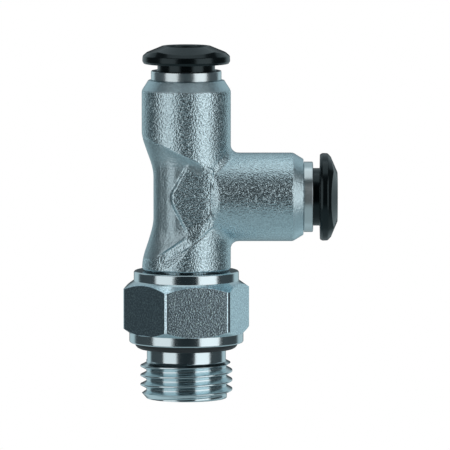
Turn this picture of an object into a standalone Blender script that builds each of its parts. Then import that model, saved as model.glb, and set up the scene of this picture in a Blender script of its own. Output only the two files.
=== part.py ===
"""Swivelling side-branch push-in fitting for compressed air.

A threaded hexagon adaptor screws into a port and seals on it with an O-ring. A forged tee
turns freely on the adaptor, held by a snap ring. The tee has two tube sockets, one in line
with the thread and one at its side, and both hold the same set of pieces.

The origin is the centre of the adaptor's sealing face, on the thread's axis. +Z runs up the
thread's axis to the top socket, and +X runs along the side socket.
"""

import math

import bmesh
import bpy
from mathutils import Vector

MM = 0.001  # every length below is in millimetres; meshes are built in metres

# Male thread: parallel pipe thread G 1/4, right-handed
THREAD_MAJOR_R = 6.58
THREAD_ROOT_R = 5.72
THREAD_PITCH = 1.337
THREAD_FLANK_DEG = 27.5
THREAD_ROOT_WIDTH = 0.24
THREAD_TOP_Z = -2.55
THREAD_END_Z = -8.0
THREAD_END_R = 5.76
THREAD_CHAMFER = 1.0
NECK_R = 5.64

# Adaptor above the thread: sealing flange, hexagon and collar
FLANGE_R = 8.15
FLANGE_TOP_Z = 1.4
FLANGE_EDGE = 0.2
HEX_ACROSS_FLATS = 16.0
HEX_TOP_Z = 8.9
HEX_CORNER_FLAT = 0.45
HEX_TURN_DEG = 11.8
HEX_CHAMFER_SLOPE = 0.70
COLLAR_R = 7.5
COLLAR_TOP_Z = 10.25
COLLAR_EDGE = 0.25

# Face seal and its groove in the flange's underside
SEAL_GROOVE_R = 7.45
SEAL_GROOVE_DEPTH = 0.8
FACE_SEAL_R = 6.52
FACE_SEAL_CORD_R = 0.82
FACE_SEAL_Z = -0.08

# Swivel: the tee's stem in the adaptor's bushing
ADAPTOR_BORE_R = 3.5
BUSHING_R = 5.0
BUSHING_BOTTOM_Z = 1.6
STEM_R = 4.9
STEM_BOTTOM_Z = 2.0
STEM_BORE_R = 3.0
STEM_GROOVE_R = 3.8
STEM_GROOVE_Z = (3.9, 5.5)
SWIVEL_SEAL_R = 4.4
SWIVEL_SEAL_CORD_R = 0.55
SNAP_RING_R = (4.5, 5.35)
SNAP_RING_Z = (7.2, 8.0)
SNAP_RING_GAP_DEG = 36.0
SNAP_GROOVE_STEM_R = 4.35
SNAP_GROOVE_BUSHING_R = 5.45
SNAP_GROOVE_PLAY = 0.1

# Tee: vertical barrel and side branch, whose axes cross at CROSS_Z
CROSS_Z = 20.8
BARREL_R = 6.35
BARREL_BOTTOM_Z = 10.45
BARREL_EDGE = 0.2
BRANCH_R = 6.31
WAIST_R = 6.0
WAIST_SHIFT = 1.33  # the waist's own axis lies this far towards the branch
WAIST_Z = (16.6, 24.8)
WAIST_FLARE_Z = (11.75, 29.5)
CORE_MARGIN = 0.02  # keeps the core's full radius just inside the barrel's
SCOOP_RIGHT_X = 3.9
SCOOP_UPPER_Z = 25.16  # upper slanted edge where it ends, at SCOOP_RIGHT_X
SCOOP_UPPER_SLOPE = -0.46
SCOOP_LOWER_Z = 16.73
SCOOP_LOWER_SLOPE = 0.681
PANEL_Y = 5.83
PANEL_CORNER = (-2.25, 21.1)
PANEL_TIPS = ((0.0, 25.4), (0.0, 16.5))
CROSS_BORE_R = 2.5
BRANCH_BORE_R = 2.4

# Tube socket, measured outwards from the crossing along the socket's axis
TUBE_STOP = 5.0
SOCKET_R = 3.1
CAVITY_BOTTOM = 8.0
CAVITY_R = 4.75
BODY_CHAMFER = 15.2
BODY_END = 16.7
BODY_END_R = 5.27
TUBE_SEAL_R = 3.825
TUBE_SEAL_CORD_R = 0.875
TUBE_SEAL_AT = 8.95
BACKUP_R = (3.15, 4.65)
BACKUP_SPAN = (9.9, 10.7)
GUIDE_R = 5.02
GUIDE_INSERT_R = 4.7
GUIDE_HOLE_R = 4.2
GUIDE_BOTTOM = 13.9
GUIDE_SHOULDER = 16.75
GUIDE_TOP = 18.05
COLLET_R = (3.15, 3.5)
COLLET_TOOTH_R = 2.97
COLLET_HEAD_R = 4.55
COLLET_BOTTOM = 12.0
COLLET_HEAD_TOP = 14.25
COLLET_TOP = 17.4
COLLET_SLOT_WIDTH = 0.45
COLLET_SLOT_TOP = 16.6
COLLET_SLOT_PAIRS = 4

# Release button
BUTTON_STEM_R = 4.1
BUTTON_BOTTOM = 14.45
BUTTON_BORE_R = 3.1
BUTTON_SEAT_R = 3.6
BUTTON_RIM_BOTTOM = 19.05
BUTTON_RIM_R = 6.25
BUTTON_RIM_TOP_R = 6.1
BUTTON_FACE = 21.57
BUTTON_FACE_HALF = 3.6
BUTTON_FACET_SLOPE = 0.488
BUTTON_MOUTH_R = 3.4

SEGMENTS = 36
SEAL_SEGMENTS = 28
CORD_SEGMENTS = 9


# ---------------------------------------------------------------- meshes

def even_angles(count):
    return [2 * math.pi * i / count for i in range(count)]


def hexagon_angles():
    """Angles round the axis that meet every hexagon edge, corner flats included."""
    half_flat = HEX_CORNER_FLAT / 2
    apothem = HEX_ACROSS_FLATS / 2
    corner_edge = math.radians(30) - math.atan2(half_flat, apothem / math.cos(math.radians(30)))
    offsets = [math.radians(d) for d in (-20, -10, 0, 10, 20)]
    offsets = [-corner_edge] + offsets + [corner_edge]
    first_normal = math.radians(HEX_TURN_DEG + 30)
    return [first_normal + side * math.pi / 3 + d for side in range(6) for d in offsets]


def row(radius, height, angles):
    """Points once round the Z axis; radius and height are numbers or functions of angle."""
    points = []
    for angle in angles:
        r = radius(angle) if callable(radius) else radius
        z = height(angle) if callable(height) else height
        points.append((r * math.cos(angle), r * math.sin(angle), z))
    return points


def grid_mesh(name, rows, closed):
    """One closed body through rows of points; open grids are capped at both ends."""
    bm = bmesh.new()
    grid = [[bm.verts.new(Vector(point) * MM) for point in points] for points in rows]
    bands = list(zip(grid, grid[1:]))
    if closed:
        bands.append((grid[-1], grid[0]))
    for first, second in bands:
        for i in range(len(first)):
            j = (i + 1) % len(first)
            bm.faces.new((first[i], first[j], second[j], second[i]))
    if not closed:
        bm.faces.new(grid[0])
        bm.faces.new(grid[-1])
    bmesh.ops.recalc_face_normals(bm, faces=bm.faces)
    mesh = bpy.data.meshes.new(name)
    bm.to_mesh(mesh)
    bm.free()
    mesh.shade_smooth()
    mesh.set_sharp_from_angle(angle=math.radians(30))
    return mesh


def turned_ring(name, profile, segments=SEGMENTS):
    """A piece with a hole, turned from a closed (radius, height) outline."""
    angles = even_angles(segments)
    return grid_mesh(name, [row(r, z, angles) for r, z in profile], closed=True)


def turned_rod(name, profile, segments=SEGMENTS):
    """A piece with flat ends and no hole, turned from an open (radius, height) outline."""
    angles = even_angles(segments)
    return grid_mesh(name, [row(r, z, angles) for r, z in profile], closed=False)


def cord_ring(name, ring_r, cord_r, height):
    """An O-ring."""
    section = [(ring_r + cord_r * math.cos(a), height + cord_r * math.sin(a))
               for a in even_angles(CORD_SEGMENTS)]
    return turned_ring(name, section, SEAL_SEGMENTS)


def prism(name, outline, half_depth):
    """An outline in the XZ plane, extruded the same way to both sides."""
    rows = [[(x, y, z) for x, z in outline] for y in (-half_depth, half_depth)]
    return grid_mesh(name, rows, closed=False)


# ---------------------------------------------------------------- objects

def material(name, colour, roughness, metallic):
    made = bpy.data.materials.new(name)
    made.use_nodes = True
    shader = made.node_tree.nodes["Principled BSDF"]
    shader.inputs["Base Color"].default_value = (*colour, 1.0)
    shader.inputs["Roughness"].default_value = roughness
    shader.inputs["Metallic"].default_value = metallic
    return made


def place(name, mesh, finish, parent=None):
    """Put a mesh into the scene as a named piece with its own material."""
    piece = bpy.data.objects.new(name, mesh)
    bpy.context.scene.collection.objects.link(piece)
    if not mesh.materials:
        mesh.materials.append(None)
    piece.material_slots[0].link = "OBJECT"
    piece.material_slots[0].material = material(name, *finish)
    piece.parent = parent
    return piece


def cutter(name, mesh, parent=None):
    """Put a mesh into the scene only as a tool for Boolean modifiers."""
    tool = bpy.data.objects.new(name, mesh)
    bpy.context.scene.collection.objects.link(tool)
    tool.hide_render = True
    tool.display_type = "WIRE"
    tool.parent = parent
    return tool


def combine(piece, tool, operation):
    boolean = piece.modifiers.new(tool.name, "BOOLEAN")
    boolean.operation = operation
    boolean.solver = "EXACT"
    boolean.object = tool


def socket_frame(name, turn_y):
    """An empty at the crossing whose Z axis runs out along a socket."""
    frame = bpy.data.objects.new(name, None)
    bpy.context.scene.collection.objects.link(frame)
    frame.location = (0, 0, CROSS_Z * MM)
    frame.rotation_euler = (0, turn_y, 0)
    return frame


NICKELLED_FORGING = ((0.50, 0.55, 0.57), 0.42, 1.0)
NICKELLED_TURNED = ((0.62, 0.66, 0.68), 0.22, 1.0)
STAINLESS = ((0.60, 0.60, 0.58), 0.30, 1.0)
BLACK_ACETAL = ((0.02, 0.022, 0.025), 0.38, 0.0)
DARK_RUBBER = ((0.05, 0.06, 0.065), 0.60, 0.0)


# ---------------------------------------------------------------- adaptor and its seals

def hexagon_radius(angle):
    """Distance from the axis to the hexagon, with its corners cut flat."""
    sixth = math.pi / 3
    first_normal = math.radians(HEX_TURN_DEG + 30)
    from_normal = (angle - first_normal + sixth / 2) % sixth - sixth / 2
    side = HEX_ACROSS_FLATS / 2 / math.cos(from_normal)
    corner_cut = HEX_CORNER_FLAT / 2 * math.tan(sixth / 2)
    corner_r = HEX_ACROSS_FLATS / 2 / math.cos(sixth / 2) - corner_cut
    return min(side, corner_r / math.cos(sixth / 2 - abs(from_normal)))


def hexagon_top(angle):
    return HEX_TOP_Z - HEX_CHAMFER_SLOPE * (hexagon_radius(angle) - COLLAR_R)


def hexagon_bottom(angle):
    return FLANGE_TOP_Z + HEX_CHAMFER_SLOPE * max(0.0, hexagon_radius(angle) - FLANGE_R)


def adaptor_mesh():
    """Outside from the collar down to the thread's end, then back up the bore."""
    angles = hexagon_angles()
    snap_low = SNAP_RING_Z[0] - 2 * SNAP_GROOVE_PLAY
    snap_high = SNAP_RING_Z[1] + 2 * SNAP_GROOVE_PLAY
    outline = [
        (BUSHING_R + COLLAR_EDGE, COLLAR_TOP_Z),
        (COLLAR_R - COLLAR_EDGE, COLLAR_TOP_Z),
        (COLLAR_R, COLLAR_TOP_Z - COLLAR_EDGE),
        (COLLAR_R, HEX_TOP_Z),
        (hexagon_radius, hexagon_top),
        (hexagon_radius, hexagon_bottom),
        (FLANGE_R, FLANGE_TOP_Z),
        (FLANGE_R, FLANGE_EDGE),
        (FLANGE_R - FLANGE_EDGE, 0.0),
        (SEAL_GROOVE_R, 0.0),
        (SEAL_GROOVE_R, SEAL_GROOVE_DEPTH),
        (NECK_R, SEAL_GROOVE_DEPTH),
        (NECK_R, THREAD_TOP_Z),
        (THREAD_MAJOR_R, THREAD_TOP_Z - (THREAD_MAJOR_R - NECK_R) / 2),
        (THREAD_MAJOR_R, THREAD_END_Z + THREAD_CHAMFER),
        (THREAD_END_R, THREAD_END_Z),
        (ADAPTOR_BORE_R, THREAD_END_Z),
        (ADAPTOR_BORE_R, BUSHING_BOTTOM_Z),
        (BUSHING_R, BUSHING_BOTTOM_Z),
        (BUSHING_R, snap_low),
        (SNAP_GROOVE_BUSHING_R, snap_low),
        (SNAP_GROOVE_BUSHING_R, snap_high),
        (BUSHING_R, snap_high),
        (BUSHING_R, COLLAR_TOP_Z - COLLAR_EDGE),
    ]
    return grid_mesh("hex_adaptor", [row(r, z, angles) for r, z in outline], closed=True)


def thread_groove_mesh():
    """The groove between two turns of the thread, swept along its helix past both ends."""
    overrun = 0.75
    clearance = 0.1
    outer_r = THREAD_MAJOR_R + clearance
    flank = math.tan(math.radians(THREAD_FLANK_DEG))
    root_half = THREAD_ROOT_WIDTH / 2
    outer_half = root_half + (outer_r - THREAD_ROOT_R) * flank
    section = [(THREAD_ROOT_R, -root_half), (THREAD_ROOT_R, root_half),
               (outer_r, outer_half), (outer_r, -outer_half)]
    bottom = THREAD_END_Z - overrun
    turns = (THREAD_TOP_Z + overrun - bottom) / THREAD_PITCH
    rows = []
    for i in range(round(turns * SEGMENTS) + 1):
        angle = 2 * math.pi * i / SEGMENTS
        height = bottom + THREAD_PITCH * i / SEGMENTS
        rows.append([(r * math.cos(angle), r * math.sin(angle), height + rise)
                     for r, rise in section])
    return grid_mesh("thread_groove", rows, closed=False)


def snap_ring_mesh():
    """A flat wire ring, open over its gap."""
    low, high = SNAP_RING_Z
    section = [(SNAP_RING_R[0], low), (SNAP_RING_R[1], low),
               (SNAP_RING_R[1], high), (SNAP_RING_R[0], high)]
    steps = SEGMENTS - 4
    start = math.radians(SNAP_RING_GAP_DEG / 2)
    step = (2 * math.pi - 2 * start) / steps
    rows = []
    for i in range(steps + 1):
        angle = start + step * i
        rows.append([(r * math.cos(angle), r * math.sin(angle), z) for r, z in section])
    return grid_mesh("swivel_snap_ring", rows, closed=False)


def build_adaptor():
    adaptor = place("hex_adaptor", adaptor_mesh(), NICKELLED_TURNED)
    combine(adaptor, cutter("thread_groove", thread_groove_mesh()), "DIFFERENCE")
    face_seal = cord_ring("face_seal_o_ring", FACE_SEAL_R, FACE_SEAL_CORD_R, FACE_SEAL_Z)
    place("face_seal_o_ring", face_seal, DARK_RUBBER)
    place("swivel_snap_ring", snap_ring_mesh(), STAINLESS)
    groove_middle = sum(STEM_GROOVE_Z) / 2
    swivel_seal = cord_ring("swivel_o_ring", SWIVEL_SEAL_R, SWIVEL_SEAL_CORD_R, groove_middle)
    place("swivel_o_ring", swivel_seal, DARK_RUBBER)


# ---------------------------------------------------------------- tee body

def barrel_mesh():
    """Stem, barrel and top socket as one solid rod."""
    snap_low = SNAP_RING_Z[0] - SNAP_GROOVE_PLAY
    snap_high = SNAP_RING_Z[1] + SNAP_GROOVE_PLAY
    outline = [
        (STEM_R - BARREL_EDGE, STEM_BOTTOM_Z),
        (STEM_R, STEM_BOTTOM_Z + BARREL_EDGE),
        (STEM_R, STEM_GROOVE_Z[0]),
        (STEM_GROOVE_R, STEM_GROOVE_Z[0]),
        (STEM_GROOVE_R, STEM_GROOVE_Z[1]),
        (STEM_R, STEM_GROOVE_Z[1]),
        (STEM_R, snap_low),
        (SNAP_GROOVE_STEM_R, snap_low),
        (SNAP_GROOVE_STEM_R, snap_high),
        (STEM_R, snap_high),
        (STEM_R, BARREL_BOTTOM_Z),
        (BARREL_R - BARREL_EDGE, BARREL_BOTTOM_Z),
        (BARREL_R, BARREL_BOTTOM_Z + BARREL_EDGE),
        (BARREL_R, CROSS_Z + BODY_CHAMFER),
        (BODY_END_R, CROSS_Z + BODY_END),
    ]
    return turned_rod("tee_body", outline)


def branch_mesh():
    outline = [(BRANCH_R, 0.0), (BRANCH_R, BODY_CHAMFER), (BODY_END_R, BODY_END)]
    return turned_rod("branch", outline)


def core_mesh():
    """The body that the scoop leaves: a waist set off towards the branch, whose two oblique
    flares lead into the full barrel. Its front and back are flat, level with the panel."""
    full_r = BARREL_R - CORE_MARGIN
    flat_y = PANEL_Y - CORE_MARGIN
    overlap = 0.5
    sections = [
        (WAIST_FLARE_Z[0] - overlap, 0.0, full_r, full_r),
        (WAIST_FLARE_Z[0], 0.0, full_r, full_r),
        (WAIST_Z[0], WAIST_SHIFT, WAIST_R, flat_y),
        (WAIST_Z[1], WAIST_SHIFT, WAIST_R, flat_y),
        (WAIST_FLARE_Z[1], 0.0, full_r, full_r),
        (WAIST_FLARE_Z[1] + overlap, 0.0, full_r, full_r),
    ]
    rows = []
    for height, centre_x, radius, half_depth in sections:
        points = row(radius, height, even_angles(SEGMENTS))
        rows.append([(x + centre_x, max(-half_depth, min(half_depth, y)), z)
                     for x, y, z in points])
    return grid_mesh("waist_core", rows, closed=False)


def scoop_mesh():
    """The wedge that the scoop takes out of the barrel's side, left of the branch."""
    left_x = -BARREL_R - 2.0
    reach = SCOOP_RIGHT_X - left_x
    floor_z = WAIST_FLARE_Z[0]
    floor_x = SCOOP_RIGHT_X - (SCOOP_LOWER_Z - floor_z) / SCOOP_LOWER_SLOPE
    outline = [
        (SCOOP_RIGHT_X, SCOOP_LOWER_Z),
        (SCOOP_RIGHT_X, SCOOP_UPPER_Z),
        (left_x, SCOOP_UPPER_Z - SCOOP_UPPER_SLOPE * reach),
        (left_x, floor_z),
        (floor_x, floor_z),
    ]
    return prism("scoop", outline, BARREL_R + 2.0)


def panel_mesh():
    """The arrow-shaped block whose flat front and back stand proud of the waist."""
    right_x = SCOOP_RIGHT_X + 1.0
    outline = [PANEL_TIPS[1], (right_x, PANEL_TIPS[1][1]), (right_x, PANEL_TIPS[0][1]),
               PANEL_TIPS[0], PANEL_CORNER]
    return prism("panel_block", outline, PANEL_Y)


def through_bore_mesh():
    """Stem bore, crossing and top socket."""
    outline = [
        (STEM_BORE_R, STEM_BOTTOM_Z - 1.0),
        (STEM_BORE_R, CROSS_Z - 2.5),
        (CROSS_BORE_R, CROSS_Z - 2.0),
        (CROSS_BORE_R, CROSS_Z + TUBE_STOP),
        (SOCKET_R, CROSS_Z + TUBE_STOP),
        (SOCKET_R, CROSS_Z + CAVITY_BOTTOM),
        (CAVITY_R, CROSS_Z + CAVITY_BOTTOM),
        (CAVITY_R, CROSS_Z + BODY_END + 1.0),
    ]
    return turned_rod("through_bore", outline)


def branch_bore_mesh():
    outline = [(BRANCH_BORE_R, 0.0), (BRANCH_BORE_R, TUBE_STOP), (SOCKET_R, TUBE_STOP),
               (SOCKET_R, CAVITY_BOTTOM), (CAVITY_R, CAVITY_BOTTOM), (CAVITY_R, BODY_END + 1.0)]
    return turned_rod("branch_bore", outline)


def build_tee(side_frame):
    body = place("tee_body", barrel_mesh(), NICKELLED_FORGING)
    combine(body, cutter("branch", branch_mesh(), side_frame), "UNION")
    scoop = cutter("scoop", scoop_mesh())
    combine(scoop, cutter("waist_core", core_mesh()), "DIFFERENCE")
    combine(scoop, cutter("panel_block", panel_mesh()), "DIFFERENCE")
    combine(body, scoop, "DIFFERENCE")
    combine(body, cutter("through_bore", through_bore_mesh()), "DIFFERENCE")
    combine(body, cutter("branch_bore", branch_bore_mesh(), side_frame), "DIFFERENCE")


# ---------------------------------------------------------------- tube sockets

def button_facet_distance(angle):
    """How far along its facet's normal a direction of unit length reaches."""
    quarter = math.pi / 2
    return math.cos((angle + quarter / 2) % quarter - quarter / 2)


def button_rim_top(angle):
    """Where the round rim meets the sloping facets."""
    reach = BUTTON_RIM_TOP_R * button_facet_distance(angle) - BUTTON_FACE_HALF
    return BUTTON_FACE - BUTTON_FACET_SLOPE * reach


def button_face_radius(angle):
    """The outline of the square end face."""
    return BUTTON_FACE_HALF / button_facet_distance(angle)


def button_mesh():
    edge = 0.12
    angles = even_angles(SEGMENTS + 4)
    outline = [
        (BUTTON_SEAT_R, BUTTON_BOTTOM),
        (BUTTON_STEM_R - edge, BUTTON_BOTTOM),
        (BUTTON_STEM_R, BUTTON_BOTTOM + edge),
        (BUTTON_STEM_R, BUTTON_RIM_BOTTOM),
        (BUTTON_RIM_R - edge, BUTTON_RIM_BOTTOM),
        (BUTTON_RIM_R, BUTTON_RIM_BOTTOM + edge),
        (BUTTON_RIM_TOP_R, button_rim_top),
        (button_face_radius, BUTTON_FACE),
        (BUTTON_MOUTH_R, BUTTON_FACE),
        (BUTTON_BORE_R, BUTTON_FACE - 0.4),
        (BUTTON_BORE_R, COLLET_TOP + 0.1),
        (BUTTON_SEAT_R, COLLET_TOP + 0.1),
    ]
    return grid_mesh("release_button", [row(r, z, angles) for r, z in outline], closed=True)


def guide_ring_mesh():
    edge = 0.1
    return turned_ring("guide_ring", [
        (GUIDE_INSERT_R - 2 * edge, GUIDE_BOTTOM),
        (GUIDE_INSERT_R - edge, GUIDE_BOTTOM),
        (GUIDE_INSERT_R, GUIDE_BOTTOM + edge),
        (GUIDE_INSERT_R, GUIDE_SHOULDER),
        (GUIDE_R, GUIDE_SHOULDER),
        (GUIDE_R, GUIDE_TOP - edge),
        (GUIDE_R - edge, GUIDE_TOP),
        (GUIDE_HOLE_R + edge, GUIDE_TOP),
        (GUIDE_HOLE_R, GUIDE_TOP - edge),
        (GUIDE_HOLE_R, GUIDE_BOTTOM + 1.0),
    ])


def collet_mesh():
    """A sleeve whose fingers end in wedge heads, with one tooth inside each."""
    inner, outer = COLLET_R
    return turned_ring("grip_collet", [
        (inner, COLLET_TOP),
        (outer, COLLET_TOP),
        (outer, COLLET_HEAD_TOP),
        (outer + 0.55, COLLET_HEAD_TOP - 0.05),
        (COLLET_HEAD_R, COLLET_BOTTOM + 1.0),
        (COLLET_HEAD_R, COLLET_BOTTOM + 0.5),
        (COLLET_HEAD_R - 0.45, COLLET_BOTTOM),
        (inner + 0.05, COLLET_BOTTOM),
        (COLLET_TOOTH_R, COLLET_BOTTOM + 0.35),
        (inner, COLLET_BOTTOM + 0.7),
    ], 32)


def collet_slot_mesh():
    """A flat blade that cuts two opposite slots between the fingers."""
    half = COLLET_SLOT_WIDTH / 2
    reach = COLLET_HEAD_R + 1.0
    corners = [(-reach, -half), (reach, -half), (reach, half), (-reach, half)]
    low = COLLET_BOTTOM - 1.0
    rows = [[(x, y, z) for x, y in corners] for z in (low, COLLET_SLOT_TOP)]
    return grid_mesh("collet_slot", rows, closed=False)


def backup_ring_mesh():
    inner, outer = BACKUP_R
    low, high = BACKUP_SPAN
    return turned_ring("seal_backup_ring",
                       [(inner, low), (outer, low), (outer, high), (inner, high)], SEAL_SEGMENTS)


def build_socket(side, frame):
    """The pieces that one socket holds, from the seal at its bottom to the button."""
    seal = cord_ring(f"{side}_tube_seal", TUBE_SEAL_R, TUBE_SEAL_CORD_R, TUBE_SEAL_AT)
    place(f"{side}_tube_seal", seal, DARK_RUBBER, frame)
    place(f"{side}_seal_backup_ring", backup_ring_mesh(), NICKELLED_TURNED, frame)
    place(f"{side}_guide_ring", guide_ring_mesh(), NICKELLED_TURNED, frame)
    place(f"{side}_release_button", button_mesh(), BLACK_ACETAL, frame)
    collet = place(f"{side}_grip_collet", collet_mesh(), STAINLESS, frame)
    for i in range(COLLET_SLOT_PAIRS):
        blade = cutter(f"{side}_collet_slot_{i + 1}", collet_slot_mesh(), frame)
        blade.rotation_euler = (0, 0, math.pi * (i + 0.5) / COLLET_SLOT_PAIRS)
        combine(collet, blade, "DIFFERENCE")


def main():
    for thing in list(bpy.data.objects):
        bpy.data.objects.remove(thing)
    top_frame = socket_frame("top_socket_frame", 0.0)
    side_frame = socket_frame("side_socket_frame", math.pi / 2)
    build_adaptor()
    build_tee(side_frame)
    build_socket("top", top_frame)
    build_socket("side", side_frame)


main()
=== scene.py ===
"""Looks of a swivelling side-branch push-in fitting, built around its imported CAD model."""
import math

import bpy
import numpy as np
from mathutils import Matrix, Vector


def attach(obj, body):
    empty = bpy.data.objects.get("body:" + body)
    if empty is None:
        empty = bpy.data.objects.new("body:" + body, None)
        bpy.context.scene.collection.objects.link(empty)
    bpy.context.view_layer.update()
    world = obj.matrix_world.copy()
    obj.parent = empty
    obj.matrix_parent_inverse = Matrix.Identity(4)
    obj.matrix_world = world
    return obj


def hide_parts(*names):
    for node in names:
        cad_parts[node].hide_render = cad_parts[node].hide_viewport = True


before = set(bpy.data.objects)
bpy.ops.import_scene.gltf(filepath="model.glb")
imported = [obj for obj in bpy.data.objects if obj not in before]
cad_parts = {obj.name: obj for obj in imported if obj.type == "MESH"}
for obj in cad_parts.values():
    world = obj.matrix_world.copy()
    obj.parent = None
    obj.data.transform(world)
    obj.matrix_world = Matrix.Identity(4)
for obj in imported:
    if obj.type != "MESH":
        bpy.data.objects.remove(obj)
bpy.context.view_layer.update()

MM = 0.001  # lengths below are in millimetres
PI = math.pi

# Tee: barrel up the Z axis and side branch along +X, whose axes cross at CROSS_Z
CROSS_Z = 20.8
BARREL_R = 6.35
BRANCH_R = 6.31
BARREL_BOTTOM_Z = 10.45
STEM_R = 4.9
STEM_SPAN = (2.0, 12.0)
STEM_GROOVES = ((3.9, 5.5, 3.8), (7.1, 8.1, 4.35))  # bottom, top and radius of each
THREAD_BORE_R, CROSS_BORE_R, BRANCH_BORE_R = 3.0, 2.5, 2.4

# Both sockets, outwards from the crossing
BODY_CHAMFER, BODY_END, BODY_END_R = 15.2, 16.7, 5.4
TUBE_STOP, SOCKET_R = 5.0, 3.1
CAVITY_BOTTOM, CAVITY_R = 8.0, 4.75
BUTTON_FACE = 21.57
BUTTON_EDGE_R = 5.7

# Scoop in the tee's left side, the panel that stands in it and the bar below it
SCOOP_RIGHT_X = 3.9
SCOOP_TOP_Z, SCOOP_TOP_FALL = 26.95, 0.46
SCOOP_BOTTOM_Z, SCOOP_BOTTOM_RISE = 16.73, 0.681
PANEL_Y = 5.83
PANEL_CORNER = (-2.25, 21.1)
PANEL_TIPS = ((0.0, 25.4), (0.0, 16.5))
PANEL_TOP_Z, PANEL_BOTTOM_Z = 26.9, 14.3
BAR_WIDTH = 1.4
BAR_TURN = math.radians(17)

# Adaptor
THREAD_ROOT_R, THREAD_MAJOR_R = 5.72, 6.58
THREAD_PITCH = 1.337
THREAD_FLANK = math.radians(27.5)
THREAD_START_Z, THREAD_END_Z, THREAD_TOP_Z = -8.75, -8.0, -2.55
NECK_R = 5.64
FLANGE_R, FLANGE_TOP_Z = 8.15, 1.4
HEX_APOTHEM, HEX_TOP_Z = 8.0, 8.9
HEX_TURN = math.radians(11.8)
HEX_HALF_CORNER = 0.225
HEX_CHAMFER_SLOPE = 0.70
COLLAR_R, COLLAR_TOP_Z = 7.5, 10.25


# ---------------------------------------------------------------- meshes

def make_object(name, points, faces, normals=None, share=None):
    """A shaded-smooth object from points in millimetres. share is a number at each point,
    which its material reads as "share"."""
    mesh = bpy.data.meshes.new(name)
    mesh.from_pydata(np.asarray(points, float) * MM, [], faces)
    mesh.shade_smooth()
    if share is not None:
        layer = mesh.attributes.new("share", "FLOAT", "POINT")
        layer.data.foreach_set("value", np.asarray(share, np.float32))
    if normals is not None:
        mesh.normals_split_custom_set_from_vertices(np.asarray(normals, float).tolist())
    piece = bpy.data.objects.new(name, mesh)
    bpy.context.scene.collection.objects.link(piece)
    return piece


def area_normals(points, faces):
    """Vertex normals weighted by face area, so that wide faces stay flat beside fillets."""
    normals = np.zeros_like(points)
    for face in faces:
        corners = points[list(face)]
        spread = np.cross(corners[2] - corners[0], corners[-1] - corners[1])
        normals[list(face)] += spread
    lengths = np.linalg.norm(normals, axis=1, keepdims=True)
    return normals / np.maximum(lengths, 1e-12)


def weld(points, faces):
    """Joins points that coincide and drops the faces that close up."""
    keys, first, merged = np.unique(np.round(points * 2e4).astype(np.int64), axis=0,
                                    return_index=True, return_inverse=True)
    merged = merged.ravel()
    kept = []
    for face in faces:
        corners = []
        for corner in merged[list(face)]:
            if not corners or corners[-1] != corner:
                corners.append(int(corner))
        if len(corners) > 1 and corners[0] == corners[-1]:
            corners.pop()
        if len(set(corners)) == len(corners) >= 3:
            kept.append(tuple(corners))
    return points[first], kept, first


def rounded(profile, radii, closed=True, steps=3):
    """Replaces each corner of a (..., corner, 2) profile by an arc of its own radius."""
    profile = np.asarray(profile, float)
    count = profile.shape[-2]
    rows = []
    for k in range(count):
        here = profile[..., k, :]
        at_end = not closed and k in (0, count - 1)
        if at_end or not radii[k]:
            rows.append(here)
            continue
        to_last = profile[..., k - 1, :] - here
        to_next = profile[..., (k + 1) % count, :] - here
        last_length = np.linalg.norm(to_last, axis=-1, keepdims=True)
        next_length = np.linalg.norm(to_next, axis=-1, keepdims=True)
        u, v = to_last / last_length, to_next / next_length
        half = np.arccos(np.clip((u * v).sum(-1, keepdims=True), -1, 1)) / 2
        half = np.minimum(half, PI / 2 - 0.01)
        reach = np.minimum(radii[k] / np.tan(half), 0.45 * np.minimum(last_length, next_length))
        radius = reach * np.tan(half)
        middle = (u + v) / np.maximum(np.linalg.norm(u + v, axis=-1, keepdims=True), 1e-9)
        centre = here + middle * radius / np.sin(half)
        turn = PI - 2 * half
        start, end = here + u * reach - centre, here + v * reach - centre
        for i in range(steps + 1):
            part = i / steps
            arc = np.sin((1 - part) * turn) * start + np.sin(part * turn) * end
            rows.append(centre + arc / np.sin(turn))
    return np.stack(rows, axis=-2)


def strip_faces(rows, columns, closed_rows):
    """Quads of a grid whose columns go round and whose point index is row * columns + column."""
    faces = []
    for r in range(rows if closed_rows else rows - 1):
        s = (r + 1) % rows
        for c in range(columns):
            d = (c + 1) % columns
            faces.append((r * columns + c, r * columns + d, s * columns + d, s * columns + c))
    return faces


def spin(profile, angles):
    """Points of a (columns, rows, 2) or (rows, 2) profile of radius and height, row by row."""
    profile = np.asarray(profile, float)
    if profile.ndim == 2:
        profile = np.broadcast_to(profile, (len(angles), *profile.shape))
    radius, height = profile[..., 0].T, profile[..., 1].T
    return np.stack([radius * np.cos(angles), radius * np.sin(angles), height], -1).reshape(-1, 3)


def along_side(points):
    """From a socket's own frame to the side socket."""
    return np.stack([points[:, 2], points[:, 1], CROSS_Z - points[:, 0]], -1)


def along_top(points):
    return points + np.array([0.0, 0.0, CROSS_Z])


def even(count):
    return np.arange(count) * 2 * PI / count


def turned(name, profile, radii, angles, to_place=None, steps=3, share=0.0):
    """A ring turned from a closed outline, anticlockwise in radius and height."""
    outline = rounded(profile, radii, steps=steps)
    points = spin(outline, angles)
    faces = strip_faces(outline.shape[-2], len(angles), True)
    if to_place:
        points = to_place(points)
    normals = area_normals(points, faces)
    outer = np.argmax(np.linalg.norm(points - points.mean(0), axis=1))
    if normals[outer] @ (points[outer] - points.mean(0)) < 0:
        faces = [face[::-1] for face in faces]
        normals = -normals
    return make_object(name, points, faces, normals, np.full(len(points), share))


# ---------------------------------------------------------------- surfaces from distances

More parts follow.
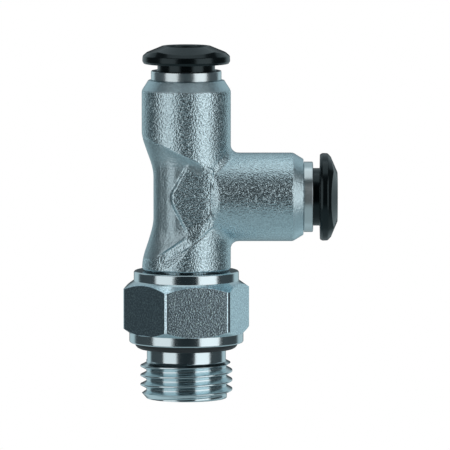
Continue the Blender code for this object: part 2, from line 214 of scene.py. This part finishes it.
def surface_net(values):
    """Vertices in grid units, and quads, of the surface where values change sign."""
    inside = values < 0
    shape = np.array(values.shape) - 1
    cells, locals_, quads = [], [], []
    for axis in range(3):
        low = [slice(None)] * 3
        high = [slice(None)] * 3
        low[axis], high[axis] = slice(0, -1), slice(1, None)
        crossing = inside[tuple(low)] != inside[tuple(high)]
        index = np.argwhere(crossing)
        a, b = values[tuple(low)][crossing], values[tuple(high)][crossing]
        part = a / (a - b)
        others = [k for k in range(3) if k != axis]
        ring = []
        for du, dv in ((1, 1), (0, 1), (0, 0), (1, 0)):
            offset = np.zeros((len(index), 3), int)
            offset[:, others[0]], offset[:, others[1]] = du, dv
            cell = index - offset
            local = offset.astype(float)
            local[:, axis] = part
            ring.append(np.ravel_multi_index(tuple(np.clip(cell, 0, shape - 1).T), shape))
            cells.append(ring[-1])
            locals_.append(local)
        quad = np.stack(ring, 1)
        flip = (a < 0) != (axis == 1)
        quad[flip] = quad[flip][:, ::-1]
        quads.append(quad)
    used, position = np.unique(np.concatenate(cells), return_inverse=True)
    total = np.stack([np.bincount(position, weights=w) for w in np.concatenate(locals_).T], 1)
    mean = total / np.bincount(position)[:, None]
    vertices = np.stack(np.unravel_index(used, shape), 1) + mean
    return vertices, np.searchsorted(used, np.concatenate(quads))[:, ::-1]


def gradient(distance, points, step=0.01):
    slopes = []
    for axis in range(3):
        shift = np.zeros(3)
        shift[axis] = step
        ahead, behind = (points + shift).T, (points - shift).T
        slopes.append((distance(*ahead) - distance(*behind)) / (2 * step))
    return np.stack(slopes, 1)


def solid_from_distance(name, distance, lines, share_of):
    """The surface where distance(x, y, z) is zero, on a grid of uneven lines."""
    x, y, z = (np.asarray(line, np.float64) for line in lines)
    values = distance(x[:, None, None], y[None, :, None], z[None, None, :])
    vertices, quads = surface_net(values)
    points = np.stack([np.interp(vertices[:, k], np.arange(len(line)), line)
                       for k, line in enumerate((x, y, z))], 1)
    for _ in range(3):
        slope = gradient(distance, points)
        size = np.maximum((slope ** 2).sum(1), 0.05)
        move = -slope * (distance(*points.T) / size)[:, None]
        length = np.maximum(np.linalg.norm(move, axis=1, keepdims=True), 1e-9)
        points += move * np.minimum(1, 0.08 / length)
    slope = gradient(distance, points, 0.02)
    normals = slope / np.maximum(np.linalg.norm(slope, axis=1, keepdims=True), 1e-9)
    return make_object(name, points, quads.tolist(), normals, share_of(points))


def larger(a, b, radius):
    """What two solids share, with the edge between their surfaces rounded."""
    return (np.minimum(-radius, np.maximum(a, b))
            + np.hypot(np.maximum(radius + a, 0), np.maximum(radius + b, 0)))


def smaller(a, b, radius):
    """Two solids together, with a fillet where their surfaces meet."""
    return (np.maximum(radius, np.minimum(a, b))
            - np.hypot(np.maximum(radius - a, 0), np.maximum(radius - b, 0)))


def soft_clip(value, low_blend, high_blend):
    """Limits a number to 0..1 with its two bends smoothed."""
    value = np.maximum(value, 0) + np.maximum(low_blend - np.abs(value), 0) ** 2 / (4 * low_blend)
    return (np.minimum(value, 1)
            - np.maximum(high_blend - np.abs(value - 1), 0) ** 2 / (4 * high_blend))


# ---------------------------------------------------------------- forged tee

def socket_end(radius, reach, body_r):
    """A round bar with the bevelled end that each socket has."""
    run, fall = BODY_END - BODY_CHAMFER, body_r - BODY_END_R
    bevel = ((radius - body_r) * run + (reach - BODY_CHAMFER) * fall) / math.hypot(run, fall)
    bar = larger(radius - body_r, bevel, 0.12)
    return larger(bar, reach - BODY_END, 0.06)


def segment_side(x, z, a, b):
    """Signed distance in the XZ plane from the line a to b, positive to its left."""
    dx, dz = b[0] - a[0], b[1] - a[1]
    return ((z - a[1]) * dx - (x - a[0]) * dz) / math.hypot(dx, dz)


def arrow_distance(x, z):
    """Distance in the XZ plane from the panel's left edge, which is bent like a V on its side."""
    above = segment_side(x, z, PANEL_CORNER, PANEL_TIPS[0])
    below = segment_side(x, z, PANEL_CORNER, PANEL_TIPS[1])
    return larger(above, -below, 0.8)


def scoop_top(x):
    """Height of the scoop's slanted upper edge."""
    return SCOOP_TOP_Z - SCOOP_TOP_FALL * x


def scoop_bottom(x):
    """Height of the scoop's slanted lower edge."""
    return SCOOP_BOTTOM_Z + SCOOP_BOTTOM_RISE * (x - SCOOP_RIGHT_X)


def scoop_void(x, z, depth, rho):
    """The space cut out of the forging, which narrows towards the axis."""
    sunk = np.clip(BARREL_R - rho, 0, 0.9)
    upper = (scoop_top(x) - z - 1.5 * sunk) / 1.8
    lower = (z - scoop_bottom(x) - 2.6 * sunk) / 2.8
    side = (3.95 - x - 0.5 * (BRANCH_R - depth)) / 1.12
    return larger(larger(-upper, -lower, 0.2), -side, 0.3)


def waist_distance(x, z, depth):
    """What is left inside the scoop: a slim faceted core that flares out above and below."""
    inward = np.clip(x, -5.5, SCOOP_RIGHT_X)
    top_z, bottom_z = scoop_top(inward), scoop_bottom(inward)
    rise = 1.9 + 0.917 * np.maximum(-2.5 - inward, 0)
    drop = 1.5 + 1.12 * np.maximum(-2.5 - inward, 0)
    up = soft_clip((z - top_z) / rise + 1, 0.4, 0.2)
    down = soft_clip((bottom_z + BAR_WIDTH - z) / drop + 1, 0.5, 0.3)
    flare = np.maximum(up, down)
    u, v = x + 0.87 * (1 - flare), depth - 1.36 * (1 - flare)
    radius, turn = 3.8 + 2.55 * flare, np.radians(43 - 18 * flare)
    past = u * np.cos(turn) + v * np.sin(turn)
    arc, flat = np.hypot(u, np.maximum(v, 0)), v * np.cos(turn) - u * np.sin(turn)
    sides = np.where(past < 0, arc, flat) - radius
    front = depth - 5.52 - 0.50 * flare + (x - 1.0) ** 2 / 45
    return larger(sides, front, 0.5)


def panel_distance(x, z, depth):
    """The raised panel, pointed on its left and tilted on its right."""
    arrow = arrow_distance(x, z) - 0.42 * np.maximum(PANEL_Y - depth, 0)
    above = z - (PANEL_TOP_Z - SCOOP_TOP_FALL * x)
    below = (PANEL_BOTTOM_Z + SCOOP_BOTTOM_RISE * x) - z
    outline = np.maximum(np.maximum(arrow, x - SCOOP_RIGHT_X), np.maximum(above, below))
    face = larger(depth - PANEL_Y, (depth - PANEL_Y + 0.34 * (x - 2.95)) / 1.06, 0.3)
    return np.maximum(larger(outline, face, 0.22), 4.5 - depth)


def with_bar(body, x, z, depth):
    """Cuts the tilted bar below the scoop, and a crease along each of its long sides."""
    bottom_z = scoop_bottom(np.clip(x, -5.5, SCOOP_RIGHT_X))
    facet = (depth - 5.98) * math.cos(BAR_TURN) - (x - 0.1) * math.sin(BAR_TURN)
    past_end = np.maximum(bottom_z + 0.2 - z, 0) + np.maximum(-3.0 - x, 0)
    facet = facet - 1.5 * np.maximum(z - bottom_z - 1.25, 0) - 0.45 * past_end
    body = larger(body, facet, 0.08)
    for line, start, end in ((bottom_z + BAR_WIDTH, -4.2, 0.1), (bottom_z - 0.1, -0.8, 3.2)):
        beside = np.clip((x - start) / 0.5, 0, 1) * np.clip((end - x) / 0.5, 0, 1)
        body = body + 0.10 * beside * np.exp(-((z - line) / 0.16) ** 2)
    return body


def stem_distance(z, rho):
    """The stem that turns in the adaptor, with its grooves for the seal and the snap ring."""
    bottom, top = STEM_SPAN
    stem = np.maximum(larger(rho - STEM_R, bottom - z, 0.2), z - top)
    grooves = [np.maximum(np.abs(z - (low + high) / 2) - (high - low) / 2, radius - rho)
               for low, high, radius in STEM_GROOVES]
    return larger(stem, -np.minimum(*grooves), 0.05)


def bores_distance(x, z, rho, across):
    """The air ways and the sockets' stepped bores."""
    through = np.where(z < CROSS_Z - 2, rho - THREAD_BORE_R, rho - CROSS_BORE_R)
    branch = np.maximum(across - BRANCH_BORE_R, -x)
    for radius, start in ((SOCKET_R, TUBE_STOP), (CAVITY_R, CAVITY_BOTTOM)):
        through = np.minimum(through, np.maximum(rho - radius, CROSS_Z + start - z))
        branch = np.minimum(branch, np.maximum(across - radius, start - x))
    return np.minimum(through, branch)


def tee_distance(x, y, z):
    depth = np.abs(y)
    rho = np.hypot(x, y)
    across = np.hypot(y, z - CROSS_Z)
    barrel = larger(socket_end(rho, z - CROSS_Z, BARREL_R), BARREL_BOTTOM_Z - z, 0.32)
    branch = np.maximum(socket_end(across, x, BRANCH_R), -x)
    facing = y * y / np.maximum(rho * across, 1e-6)
    outer = smaller(barrel, branch, 1.1 * np.clip(1 - facing, 0.02, 1))

    kept = smaller(-scoop_void(x, z, depth, rho), waist_distance(x, z, depth), 0.15)
    edge = 0.12 + 0.8 * np.clip((x - 3.3) / 0.6, 0, 1)
    body = larger(outer, kept, edge)
    body = smaller(body, panel_distance(x, z, depth), 0.18)
    body = with_bar(body, x, z, depth)
    body = np.minimum(body, stem_distance(z, rho))
    return larger(body, -bores_distance(x, z, rho, across), 0.1)


def finish_and_painted_shade_share(points):
    """1 on the turned bores and stem, 0.75 on the bevelled ends, 0.45 in the scoop, which has smoother
    grain and a darker colour that is painted shade.
    """
    x, y, z = points.T
    rho, across = np.hypot(x, y), np.hypot(y, z - CROSS_Z)
    ends = np.maximum(z - CROSS_Z, x) > BODY_CHAMFER + 0.06
    bores = (rho < 3.3) | (rho < 5.1) & ((z < 12) | (z > CROSS_Z + 7.5))
    bores |= (across < 5.1) & (x > 7.5) | (across < 3.3) & (x > 0)
    inset = (rho < BARREL_R - 0.1) & (z < 29.5)
    waist = (x < 3.0) & (z > scoop_bottom(x) + BAR_WIDTH) & (z > 12.2) & (arrow_distance(x, z) > 0.4)
    upper_wall = (x < SCOOP_RIGHT_X) & (z > scoop_top(x) - 1.6)
    scoop = inset & (waist | upper_wall)
    turned = ends | bores | (z < BARREL_BOTTOM_Z + 0.05)
    # The scoop's 0.45 also darkens its base colour in the material: painted shade in the recess.
    return np.where(turned, np.where(ends, 0.75, 1.0), np.where(scoop, 0.45, 0.0))


def spaced(*stretches):
    """Grid lines over stretches of (start, end, step)."""
    lines = [np.arange(start, end, step) for start, end, step in stretches]
    return np.concatenate(lines + [[stretches[-1][1]]])


def build_tee():
    """Grid lines are close where the forging has detail."""
    lines = (spaced((-6.61, -3.2, 0.24), (-3.2, 4.5, 0.14), (4.5, 6.6, 0.22), (6.6, 14.9, 0.6),
                    (14.9, 17.0, 0.14)),
             spaced((-6.62, -4.4, 0.15), (-4.4, 4.4, 0.28), (4.4, 6.62, 0.15)),
             spaced((1.7, 10.2, 0.4), (10.2, 12.0, 0.16), (12.0, 16.0, 0.18), (16.0, 26.6, 0.14),
                    (26.6, 30.0, 0.18), (30.0, 35.7, 0.6), (35.7, 37.8, 0.14)))
    return solid_from_distance("tee_body_forging", tee_distance, lines, finish_and_painted_shade_share)


# ---------------------------------------------------------------- adaptor

def adaptor_angles():
    """Columns that crowd round the hexagon's corners."""
    offsets = list(range(-27, 28, 3)) + [27.9, 28.5, 29.1, 30.0, 30.9, 31.5, 32.1]
    angles = [HEX_TURN + math.radians(30 + 60 * side + d) for side in range(6) for d in offsets]
    return np.array(angles)


def hexagon_radius(angles):
    from_normal = (angles - HEX_TURN - math.radians(30) + PI / 6) % (PI / 3) - PI / 6
    flat = HEX_APOTHEM / np.cos(from_normal)
    corner_reach = HEX_APOTHEM / math.cos(PI / 6) - HEX_HALF_CORNER * math.tan(PI / 6)
    corner = corner_reach / np.cos(PI / 6 - np.abs(from_normal))
    return -larger(-flat, -corner, 0.06)


def turned_blank(angles):
    """Everything but the thread: its points and faces, and a share of 1 on the hexagon's flats."""
    hex_r = hexagon_radius(angles)
    corners = [
        (NECK_R, THREAD_TOP_Z), (NECK_R, 0.8), (7.45, 0.8), (7.45, 0.0), (FLANGE_R, 0.0),
        (FLANGE_R, FLANGE_TOP_Z), None, None, (COLLAR_R, HEX_TOP_Z), (COLLAR_R, COLLAR_TOP_Z),
        (5.15, COLLAR_TOP_Z), (5.0, 10.1), (5.0, 8.2), (5.45, 8.2), (5.45, 7.0), (5.0, 7.0),
        (5.0, 1.6), (3.5, 1.6), (3.5, THREAD_END_Z), (THREAD_ROOT_R, THREAD_END_Z),
    ]
    radii = [0, 0.1, 0.1, 0.06, 0.22, 0.06, 0.08, 0.08, 0.12, 0.25, 0.06, 0.06,
             0.04, 0.04, 0.04, 0.04, 0.1, 0.1, 0.12, 0]
    profile = np.zeros((len(angles), len(corners), 2))
    for k, corner in enumerate(corners):
        if corner:
            profile[:, k] = corner
    profile[:, 6, 0] = profile[:, 7, 0] = hex_r
    profile[:, 6, 1] = FLANGE_TOP_Z + HEX_CHAMFER_SLOPE * np.maximum(0.02, hex_r - FLANGE_R)
    profile[:, 7, 1] = HEX_TOP_Z - HEX_CHAMFER_SLOPE * (hex_r - COLLAR_R)
    outline = rounded(profile, radii, closed=False)
    rows = outline.shape[-2]
    share = np.zeros(rows)
    flats = 1 + 4 * 6 - 2  # the first corner has 1 row and the five before the flats have 4 each
    share[flats:flats + 6] = 1
    return spin(outline, angles), strip_faces(rows, len(angles), False), np.repeat(share, len(angles))


def thread_grid(angles):
    """Points and faces of the thread; each turn's last column meets the next turn's first."""
    root_half = 0.12
    wide = root_half + (THREAD_MAJOR_R - THREAD_ROOT_R) * math.tan(THREAD_FLANK)
    corners, radii = [], []
    for turn in range(-3, 7):
        middle = THREAD_START_Z + turn * THREAD_PITCH
        corners += [(THREAD_MAJOR_R, middle - wide), (THREAD_ROOT_R, middle - root_half),
                    (THREAD_ROOT_R, middle + root_half), (THREAD_MAJOR_R, middle + wide)]
        radii += [0.13, 0.14, 0.14, 0.13]
    turn_rows = 20  # 4 corners of 5 rows each
    helix = rounded(corners, radii, steps=4)[turn_rows:-turn_rows]
    rise = THREAD_PITCH * angles / (2 * PI)
    height = helix[:, 1][:, None] + rise[None, :]
    radius = np.broadcast_to(helix[:, 0][:, None], height.shape)
    radius = np.minimum(radius, THREAD_ROOT_R + 0.86 * (height - THREAD_END_Z))
    radius = np.minimum(radius, NECK_R + 2 * (THREAD_TOP_Z - height))
    below, above = height <= THREAD_END_Z, height >= THREAD_TOP_Z
    height = np.clip(height, THREAD_END_Z, THREAD_TOP_Z)
    radius = np.where(below, THREAD_ROOT_R, np.where(above, NECK_R, radius))
    points = np.stack([radius * np.cos(angles), radius * np.sin(angles), height], -1)
    rows, columns = height.shape
    faces = []
    for r in range(rows - 1):
        for c in range(columns):
            if c < columns - 1:
                quad = [(r, c), (r, c + 1), (r + 1, c + 1), (r + 1, c)]
            elif r + 1 + turn_rows < rows:
                quad = [(r, c), (r + turn_rows, 0), (r + 1 + turn_rows, 0), (r + 1, c)]
            else:
                continue
            faces.append(tuple(a * columns + b for a, b in quad))
    return points.reshape(-1, 3), faces


def build_adaptor():
    angles = adaptor_angles()
    points, faces, share = turned_blank(angles)
    thread_points, thread_faces = thread_grid(angles)
    start = len(points)
    faces += [tuple(start + corner for corner in face) for face in thread_faces]
    share = np.concatenate([share, np.zeros(len(thread_points))])
    points, faces, first = weld(np.concatenate([points, thread_points]), faces)
    return make_object("hex_adaptor_turned", points, faces, area_normals(points, faces), share[first])


# ---------------------------------------------------------------- rings, seals, buttons

def cord_ring(name, ring_r, cord_r, height, to_place=None):
    section = [(ring_r + cord_r * math.cos(a), height + cord_r * math.sin(a)) for a in even(20)]
    return turned(name, section, [0] * 20, even(96), to_place)


def guide_ring(name, to_place):
    profile = [(4.2, 14.9), (4.2, 18.05), (5.02, 18.05), (5.02, 16.75), (4.7, 16.75),
               (4.7, 13.9), (4.5, 13.9)]
    return turned(name, profile, [0.05, 0.16, 0.16, 0.05, 0.03, 0.1, 0.05], even(120), to_place,
                  share=float(to_place is along_side))


def button(name, to_place):
    """A round rim under a low cone with four flats."""
    angles = even(160)
    quarter = PI / 2
    reach = 1 - 0.5 * (1 - np.cos((angles + quarter / 2) % quarter - quarter / 2))
    mouth_r = 3.45
    corners = [(3.6, 14.45), (4.1, 14.45), (4.1, 19.05), (6.05, 19.05), (6.25, 19.4), (6.22, 20.15),
               None, (mouth_r, BUTTON_FACE), (3.1, 21.27), (3.1, 17.5), (3.6, 17.5)]
    radii = [0.05, 0.12, 0.15, 0.15, 0.3, 0.4, 0.2, 0.15, 0.15, 0.04, 0.04]
    profile = np.zeros((len(angles), len(corners), 2))
    for k, corner in enumerate(corners):
        if corner:
            profile[:, k] = corner
    profile[:, 6, 0] = BUTTON_EDGE_R
    profile[:, 6, 1] = BUTTON_FACE - 0.43 * (BUTTON_EDGE_R * reach - mouth_r)
    return turned(name, profile, radii, angles, to_place, steps=4)


def backup_ring(name, to_place):
    return turned(name, [(3.15, 9.9), (3.15, 10.7), (4.65, 10.7), (4.65, 9.9)],
                  [0.08] * 4, even(72), to_place)


# ---------------------------------------------------------------- materials

def new_material(name, colour, metallic, roughness):
    made = bpy.data.materials.new(name)
    made.use_nodes = True
    shader = made.node_tree.nodes["Principled BSDF"]
    shader.inputs["Base Color"].default_value = (*colour, 1)
    shader.inputs["Metallic"].default_value = metallic
    shader.inputs["Roughness"].default_value = roughness
    return made, made.node_tree, shader


def node(tree, kind, **values):
    made = tree.nodes.new(kind)
    for key, value in values.items():
        if key in made.inputs:
            made.inputs[key].default_value = value
        else:
            setattr(made, key, value)
    return made


def noise(tree, scale, detail=2.0, stretch=(1, 1, 1), roughness=0.5):
    """Noise whose features are 1 / scale millimetres wide."""
    place = node(tree, "ShaderNodeTexCoord")
    sized = node(tree, "ShaderNodeVectorMath", operation="MULTIPLY")
    sized.inputs[1].default_value = tuple(scale * s / MM for s in stretch)
    made = node(tree, "ShaderNodeTexNoise", Detail=detail, Roughness=roughness, Scale=1.0)
    tree.links.new(place.outputs["Object"], sized.inputs[0])
    tree.links.new(sized.outputs[0], made.inputs["Vector"])
    return made.outputs["Fac"]


def ramp(tree, source, low, high, out_low, out_high):
    made = node(tree, "ShaderNodeMapRange")
    for key, value in zip(("From Min", "From Max", "To Min", "To Max"), (low, high, out_low, out_high)):
        made.inputs[key].default_value = value
    tree.links.new(source, made.inputs["Value"])
    return made.outputs["Result"]


def bump(tree, shader, layers):
    """Stacks bump layers of (height socket, depth in millimetres, share of it or None)."""
    last = None
    for height, depth, strength in layers:
        made = node(tree, "ShaderNodeBump")
        made.inputs["Distance"].default_value = depth * MM
        made.inputs["Strength"].default_value = 1.0
        if strength is not None:
            tree.links.new(strength, made.inputs["Strength"])
        tree.links.new(height, made.inputs["Height"])
        if last:
            tree.links.new(last, made.inputs["Normal"])
        last = made.outputs["Normal"]
    tree.links.new(last, shader.inputs["Normal"])


def tint(tree, shader, factor, colour=None):
    """Multiplies the base colour, or the colour socket given, by a number, and returns it."""
    made = node(tree, "ShaderNodeVectorMath", operation="SCALE")
    made.inputs[0].default_value = shader.inputs["Base Color"].default_value[:3]
    if colour:
        tree.links.new(colour, made.inputs[0])
    tree.links.new(factor, made.inputs["Scale"])
    tree.links.new(made.outputs[0], shader.inputs["Base Color"])
    return made.outputs[0]


def share_socket(tree):
    made = node(tree, "ShaderNodeAttribute")
    made.attribute_name = "share"
    return made.outputs["Fac"]


def blend_values(tree, share, at_zero, at_one):
    """at_zero and at_one are sockets or numbers."""
    made = node(tree, "ShaderNodeMix", data_type="FLOAT")
    for socket, value in ((made.inputs["A"], at_zero), (made.inputs["B"], at_one)):
        if isinstance(value, bpy.types.NodeSocket):
            tree.links.new(value, socket)
        else:
            socket.default_value = value
    tree.links.new(share, made.inputs["Factor"])
    return made.outputs["Result"]


def by_share(tree, share, values):
    """A number for each of the shares 0, 0.45, 0.75 and 1."""
    made = node(tree, "ShaderNodeValToRGB")
    stops = made.color_ramp.elements
    for place, value in zip((0.0, 0.45, 0.75, 1.0), values):
        stop = stops[0] if place == 0 else stops.new(place) if place < 1 else stops[-1]
        stop.color = (value, value, value, 1)
    tree.links.new(share, made.inputs["Fac"])
    return made.outputs["Color"]


def forged_nickel():
    """Blasted grain, which fades where share is higher, and painted shade: a darker base colour in the
    scoop.
    """
    made, tree, shader = new_material("nickelled_forging", (0.61, 0.77, 0.83), 1.0, 0.255)
    finish_and_painted_shade = share_socket(tree)
    grain = noise(tree, 3.7, 1.0)
    fine = noise(tree, 8.0, 1.0)
    rough = by_share(tree, finish_and_painted_shade, (1.0, 0.8, 0.45, 0.0))
    tree.links.new(by_share(tree, finish_and_painted_shade, (0.255, 0.38, 0.34, 0.22)), shader.inputs["Roughness"])
    speckle = blend_values(tree, rough, 1.0, ramp(tree, grain, 0.36, 0.64, 0.88, 1.08))
    # Painted shade: the scoop (share 0.45) gets 0.82 of the base colour.
    shaded = tint(tree, shader, by_share(tree, finish_and_painted_shade, (1.0, 0.82, 1.0, 1.0)))
    tint(tree, shader, speckle, shaded)
    bump(tree, shader, [(grain, 0.095, rough), (fine, 0.03, rough)])
    return made


def turned_nickel():
    """Turned metal; where share is 1 a drawn, blasted face."""
    turned, drawn = (0.68, 0.80, 0.84), (0.62, 0.80, 0.89)
    made, tree, shader = new_material("nickelled_turned", turned, 1.0, 0.16)
    share = share_socket(tree)
    grain = noise(tree, 5.0, 1.0)
    tree.links.new(blend_values(tree, share, 0.16, 0.18), shader.inputs["Roughness"])
    colour = node(tree, "ShaderNodeMix", data_type="RGBA")
    colour.inputs["A"].default_value = (*turned, 1)
    colour.inputs["B"].default_value = (*drawn, 1)
    tree.links.new(share, colour.inputs["Factor"])
    speckle = blend_values(tree, share, 1.0, ramp(tree, grain, 0.42, 0.68, 0.72, 1.25))
    tint(tree, shader, speckle, colour.outputs["Result"])
    lines = noise(tree, 1.0, 3.0, (0.3, 0.3, 9.0))
    bump(tree, shader, [(lines, 0.0012, None), (grain, 0.011, share)])
    return made


def turned_ring():
    """Turned metal whose marks run round the Z axis, or round the X axis where share is 1."""
    made, tree, shader = new_material("nickelled_ring", (0.72, 0.81, 0.835), 1.0, 0.30)
    shader.inputs["Anisotropic"].default_value = 0.7
    shader.inputs["Anisotropic Rotation"].default_value = 0.25
    mix = node(tree, "ShaderNodeMix", data_type="VECTOR")
    tree.links.new(share_socket(tree), mix.inputs["Factor"])
    for key, axis in ((4, "Z"), (5, "X")):
        tangent = node(tree, "ShaderNodeTangent", direction_type="RADIAL", axis=axis)
        tree.links.new(tangent.outputs[0], mix.inputs[key])
    tree.links.new(mix.outputs[1], shader.inputs["Tangent"])
    return made


def black_acetal():
    made, tree, shader = new_material("black_acetal", (0.003, 0.0045, 0.005), 0.0, 0.21)
    shader.inputs["Specular Tint"].default_value = (0.70, 0.93, 1.0, 1)
    bump(tree, shader, [(noise(tree, 5.0, 3.0), 0.002, None)])
    return made


def seal_rubber():
    made, tree, shader = new_material("seal_rubber", (0.03, 0.036, 0.04), 0.0, 0.55)
    bump(tree, shader, [(noise(tree, 6.0, 2.0), 0.002, None)])
    return made


def stainless():
    made, tree, shader = new_material("stainless_spring", (0.6, 0.6, 0.58), 1.0, 0.3)
    bump(tree, shader, [(noise(tree, 4.0, 2.0, (1, 1, 6)), 0.001, None)])
    return made


# ---------------------------------------------------------------- assembly

FINISHES = {
    "nickelled_forging": forged_nickel(),
    "nickelled_turned": turned_nickel(),
    "nickelled_ring": turned_ring(),
    "stainless_spring": stainless(),
    "black_acetal": black_acetal(),
    "seal_rubber": seal_rubber(),
}


def fit(piece, cad_node, body, finish):
    piece.data.materials.clear()
    piece.data.materials.append(FINISHES[finish])
    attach(piece, body)
    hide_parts(cad_node)


def build_object():
    fit(build_tee(), "tee_body", "tee", "nickelled_forging")
    fit(build_adaptor(), "hex_adaptor", "adaptor", "nickelled_turned")
    face_seal = cord_ring("face_seal_cord", 6.52, 0.82, -0.08)
    fit(face_seal, "face_seal_o_ring", "adaptor", "seal_rubber")
    swivel_seal = cord_ring("swivel_seal_cord", 4.4, 0.55, 4.7)
    fit(swivel_seal, "swivel_o_ring", "tee", "seal_rubber")
    for side, place in (("top", along_top), ("side", along_side)):
        ring = guide_ring(side + "_guide_ring_turned", place)
        fit(ring, side + "_guide_ring", "tee", "nickelled_ring")
        moulding = button(side + "_button_moulded", place)
        fit(moulding, side + "_release_button", side + "_release", "black_acetal")
        washer = backup_ring(side + "_backup_washer", place)
        fit(washer, side + "_seal_backup_ring", "tee", "nickelled_turned")
        tube_seal = cord_ring(side + "_tube_seal_cord", 3.825, 0.875, 8.95, place)
        fit(tube_seal, side + "_tube_seal", "tee", "seal_rubber")
    for name in ("top_grip_collet", "side_grip_collet", "swivel_snap_ring"):
        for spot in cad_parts[name].material_slots:
            spot.material = FINISHES["stainless_spring"]


# ---------------------------------------------------------------- studio

TARGET = Vector((5.517, 0.0, 16.76)) * MM
CAMERA_ELEVATION = math.radians(5.5)
FLOOR_Z = -8.05


def direction(azimuth, elevation):
    """From the object outwards; azimuth 0 is towards the camera, 90 to its right."""
    a, e = math.radians(azimuth), math.radians(elevation)
    return Vector((math.sin(a) * math.cos(e), -math.cos(a) * math.cos(e), math.sin(e)))


def softbox(name, azimuth, elevation, distance, width, height, radiance, colour=(1, 1, 1)):
    data = bpy.data.lights.new(name, "AREA")
    data.shape = "RECTANGLE"
    data.size, data.size_y = width, height
    data.energy = radiance * PI * width * height
    data.color = colour
    lamp = bpy.data.objects.new(name, data)
    bpy.context.scene.collection.objects.link(lamp)
    lamp.location = TARGET + direction(azimuth, elevation) * distance
    lamp.rotation_euler = (lamp.location - TARGET).to_track_quat("Z", "Y").to_euler()


def math_node(tree, operation, *values):
    made = node(tree, "ShaderNodeMath", operation=operation)
    for socket, value in zip(made.inputs, values):
        if isinstance(value, bpy.types.NodeSocket):
            tree.links.new(value, socket)
        else:
            socket.default_value = value
    return made.outputs[0]


def smooth_step(tree, value, start, end):
    made = node(tree, "ShaderNodeMapRange", interpolation_type="SMOOTHSTEP")
    made.inputs["From Min"].default_value = start
    made.inputs["From Max"].default_value = end
    tree.links.new(value, made.inputs["Value"])
    return made.outputs["Result"]


def sine(degrees):
    return math.sin(math.radians(degrees))


def build_world():
    """A dark blue-grey room, lighter low down, high up, far to the sides and in the rear corners."""
    world = bpy.data.worlds.new("studio")
    world.use_nodes = True
    bpy.context.scene.world = world
    tree = world.node_tree
    place = node(tree, "ShaderNodeTexCoord")
    split = node(tree, "ShaderNodeSeparateXYZ")
    tree.links.new(place.outputs["Generated"], split.inputs[0])
    x, y, z = split.outputs
    aside = math_node(tree, "ABSOLUTE", math_node(tree, "ARCTAN2", x, math_node(tree, "MULTIPLY", y, -1)))
    low = smooth_step(tree, z, sine(-12), sine(-34))
    rear = math_node(tree, "MULTIPLY", smooth_step(tree, aside, math.radians(122), math.radians(134)),
                     smooth_step(tree, aside, math.radians(172), math.radians(156)))
    high = smooth_step(tree, z, sine(45), sine(75))
    flank = smooth_step(tree, aside, math.radians(70), math.radians(86))
    over = math_node(tree, "MULTIPLY", smooth_step(tree, z, sine(8), sine(28)),
                     smooth_step(tree, y, 0.15, 0.4))
    shades = ((flank, (0.052, 0.063, 0.068)), (low, (0.30, 0.37, 0.39)), (rear, (0.46, 0.57, 0.60)),
              (high, (0.09, 0.11, 0.12)), (over, (0.38, 0.46, 0.49)))
    colour = None
    for weight, shade in shades:
        mix = node(tree, "ShaderNodeMix", data_type="RGBA")
        if colour:
            tree.links.new(colour, mix.inputs["A"])
        else:
            mix.inputs["A"].default_value = (0.014, 0.020, 0.023, 1)
        mix.inputs["B"].default_value = (*shade, 1)
        tree.links.new(weight, mix.inputs["Factor"])
        colour = mix.outputs["Result"]
    tree.links.new(colour, tree.nodes["Background"].inputs["Color"])


def build_floor():
    """A plane that looks plain white and sends no light back onto the object."""
    mesh = bpy.data.meshes.new("floor")
    half, z = 6.0, FLOOR_Z * MM
    corners = [(-half, -half, z), (half, -half, z), (half, half, z), (-half, half, z)]
    mesh.from_pydata(corners, [], [(0, 1, 2, 3)])
    floor = bpy.data.objects.new("floor", mesh)
    bpy.context.scene.collection.objects.link(floor)
    made = bpy.data.materials.new("pale_floor")
    made.use_nodes = True
    shader = made.node_tree.nodes["Principled BSDF"]
    shader.inputs["Base Color"].default_value = (0, 0, 0, 1)
    shader.inputs["Specular IOR Level"].default_value = 0
    shader.inputs["Emission Color"].default_value = (1, 1, 1, 1)
    shader.inputs["Emission Strength"].default_value = 1.0
    mesh.materials.append(made)
    floor.visible_glossy = False
    floor.visible_diffuse = False
    floor.visible_transmission = False
    floor.visible_shadow = False


def build_studio():
    scene = bpy.context.scene
    scene.view_settings.view_transform = "Standard"
    camera_data = bpy.data.cameras.new("camera")
    camera_data.sensor_width = 36
    camera_data.lens = 561
    camera_data.clip_end = 20
    camera = bpy.data.objects.new("camera", camera_data)
    scene.collection.objects.link(camera)
    back = Vector((0, -math.cos(CAMERA_ELEVATION), math.sin(CAMERA_ELEVATION)))
    camera.location = TARGET + back
    camera.rotation_euler = back.to_track_quat("Z", "Y").to_euler()
    scene.camera = camera
    softbox("left_softbox", -49, 10, 1.6, 1.34, 2.0, 0.88)
    softbox("right_softbox", 49, 10, 1.6, 1.34, 2.0, 1.10)
    softbox("overhead_softbox", 0, 90, 1.5, 1.5, 1.25, 0.66, (0.94, 0.99, 1.0))
    build_world()
    build_floor()


build_object()
build_studio()
